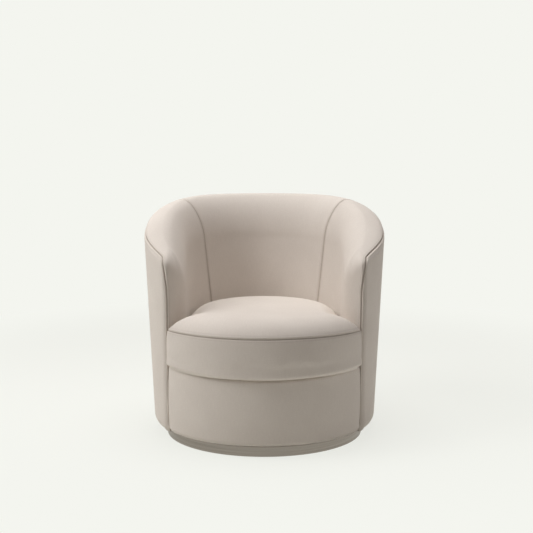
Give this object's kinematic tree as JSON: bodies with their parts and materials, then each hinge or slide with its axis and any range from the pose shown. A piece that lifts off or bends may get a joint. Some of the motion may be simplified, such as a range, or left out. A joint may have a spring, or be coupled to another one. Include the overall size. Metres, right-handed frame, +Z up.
{
  "type": "swivel barrel chair",
  "caption": "Upholstered barrel armchair with a round wrap-around back, sloping arms and a loose T-shaped seat cushion, turning on a low metal-banded round plinth.",
  "frame": {"origin": "centre of the chair's overall box at floor level, where the glides stand", "axes": "+Z up, -Y towards the front of the seat, +X towards the sitter's left arm, which is on the right of the picture"},
  "size_m": [0.8, 0.8004, 0.7824],
  "materials": {
    "upholstery": "fine plain weave, warm beige, matte",
    "deck_cloth": "needled felt with a lining cloth",
    "dust_cloth": "black spun cloth",
    "seat_foam": "cream cushion foam",
    "zip_tape": "woven zip tape",
    "plinth_metal": "satin brushed nickel grey",
    "plywood": "raw birch plywood",
    "beech": "planed hardwood",
    "panel_board": "thin hardboard",
    "spring_steel": "oiled spring wire",
    "zinc_steel": "bright zinc plate",
    "glide_plastic": "black nylon"
  },
  "bodies": {
    "base": {"floor_glides": "glide_plastic", "base_board": "plywood", "plinth_hoop": "plywood", "plinth_band": "plinth_metal", "swivel_lower_plate": "zinc_steel", "swivel_pin": "zinc_steel", "lower_plate_screws": "zinc_steel"},
    "cage": {"ball_cage": "zinc_steel", "bearing_balls": "zinc_steel"},
    "seat": {"swivel_upper_plate": "zinc_steel", "upper_plate_screws": "zinc_steel", "swivel_rail_front": "beech", "swivel_rail_back": "beech", "bottom_ring": "plywood", "post_screws": "zinc_steel", "top_rail": "plywood", "back_post_left": "beech", "back_post_right": "beech", "side_post_left": "beech", "side_post_right": "beech", "front_post_left": "beech", "front_post_right": "beech", "seat_rail": "plywood", "front_rail": "plywood", "front_board": "panel_board", "outer_board": "panel_board", "inner_board": "panel_board", "dust_cover": "dust_cloth", "springs": "spring_steel", "spring_clips": "spring_steel", "deck_pad": "deck_cloth", "inside_back_pad": "upholstery", "inside_arm_pad_left": "upholstery", "inside_arm_pad_right": "upholstery", "outer_cover": "upholstery", "front_panel_pad": "upholstery"},
    "cushion": {"cushion_cover": "upholstery", "cushion_core": "seat_foam", "cushion_zip": "zip_tape"},
    "zip_pull": {"zip_slider": "zinc_steel"}
  },
  "joints": [
    {"name": "seat_swivel", "type": "hinge", "parent": "base", "child": "seat", "pos_m": [0, -0.027, 0.032], "axis": [0, 0, 1], "continuous": true},
    {"name": "cage_turn", "type": "hinge", "parent": "base", "child": "cage", "pos_m": [0, -0.027, 0.032], "axis": [0, 0, 1], "continuous": true},
    {"name": "cushion_lift", "type": "slide", "parent": "seat", "child": "cushion", "axis": [0, 0, 1], "range_m": [0, 0.55]},
    {"name": "zip_travel", "type": "hinge", "parent": "cushion", "child": "zip_pull", "pos_m": [0, 0, 0.31], "axis": [0, 0, 1], "range_deg": [-80, 0]}
  ],
  "couplings": [
    {"joint": "cage_turn", "follows": "seat_swivel", "ratio": 0.5}
  ]
}
